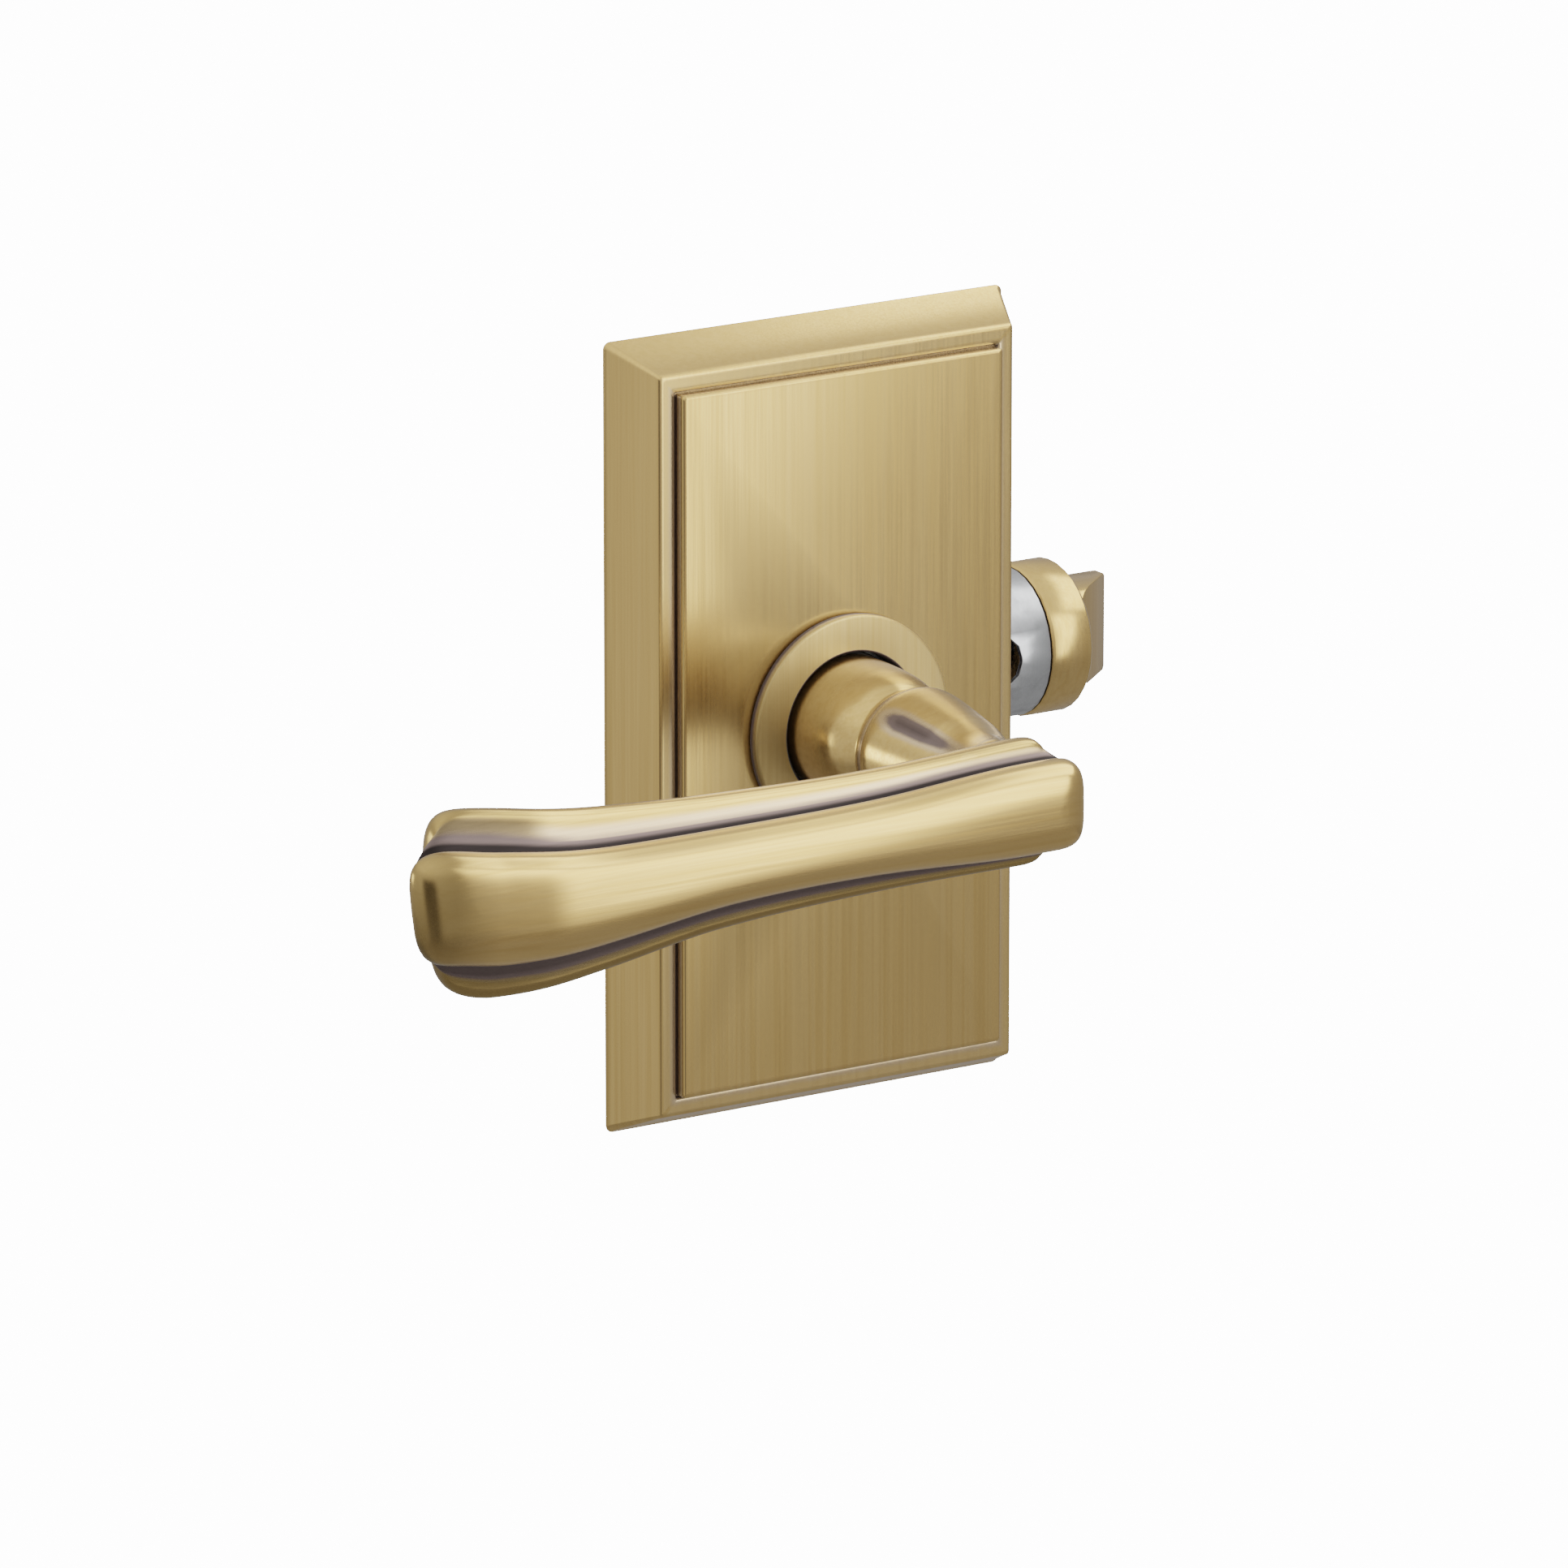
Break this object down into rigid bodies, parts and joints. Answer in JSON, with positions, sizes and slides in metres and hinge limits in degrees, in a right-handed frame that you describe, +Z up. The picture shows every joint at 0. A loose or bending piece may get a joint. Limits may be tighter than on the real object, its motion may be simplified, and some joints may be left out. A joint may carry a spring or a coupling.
{
  "type": "lever handle lockset",
  "caption": "Passage door lever on a tall rectangular rose with a stepped grip, its return spring cassette, square spindle and drive-in spring latch.",
  "frame": {"origin": "middle of the spindle's inner end face, on the lever's axis, 44 mm inside the plane where the rose rests on the door", "axes": "+X to the door's edge and the latch bolt, -Y to the user along the lever's shank, +Z up"},
  "size_m": [0.1862, 0.1168, 0.13],
  "materials": {
    "antique_brass": "satin antique brass, brushed, dark patina in recesses",
    "zinc_steel": "zinc plated",
    "dark_steel": "oiled sintered steel",
    "spring_steel": "drawn wire",
    "white_nylon": "moulded nylon",
    "bright_steel": "bright turned steel"
  },
  "bodies": {
    "trim_and_latch_case": {"rose_plate": "antique_brass", "rose_collar": "antique_brass", "rose_screw_1": "zinc_steel", "rose_screw_2": "zinc_steel", "rose_screw_3": "zinc_steel", "rose_screw_4": "zinc_steel", "mounting_plate": "zinc_steel", "post_upper": "zinc_steel", "post_lower": "zinc_steel", "spring_cage": "zinc_steel", "cage_cover": "zinc_steel", "cage_screw_left": "zinc_steel", "cage_screw_right": "zinc_steel", "lever_bushing": "white_nylon", "return_spring": "spring_steel", "case_front": "zinc_steel", "case_back": "zinc_steel", "case_rivet_1": "bright_steel", "case_rivet_2": "bright_steel", "case_rivet_3": "bright_steel", "latch_tube": "zinc_steel", "latch_face": "antique_brass"},
    "lever": {"lever_handle": "antique_brass", "lever_set_screw": "dark_steel", "spindle": "zinc_steel", "spring_driver": "zinc_steel", "thrust_washer": "spring_steel", "retaining_ring": "spring_steel", "latch_hub": "dark_steel"},
    "retractor": {"latch_retractor": "dark_steel", "bolt_spring": "spring_steel"},
    "bolt": {"latch_bolt": "antique_brass", "bolt_tail": "bright_steel"}
  },
  "joints": [
    {"name": "lever_turn", "type": "hinge", "parent": "trim_and_latch_case", "child": "lever", "pos_m": [0, 0, 0], "axis": [0, -1, 0], "range_deg": [0, 45], "stiffness_Nm_per_rad": 0.8, "springref_deg": -34.38, "deforming": ["return_spring"]},
    {"name": "retractor_slide", "type": "slide", "parent": "trim_and_latch_case", "child": "retractor", "axis": [-1, 0, 0], "range_m": [0, 0.012]},
    {"name": "bolt_push", "type": "slide", "parent": "retractor", "child": "bolt", "axis": [-1, 0, 0], "range_m": [0, 0.012], "stiffness_N_per_m": 200, "springref_m": -0.01, "deforming": ["bolt_spring"]}
  ],
  "couplings": [
    {"joint": "retractor_slide", "follows": "lever_turn", "m_per_rad": 0.015279}
  ]
}
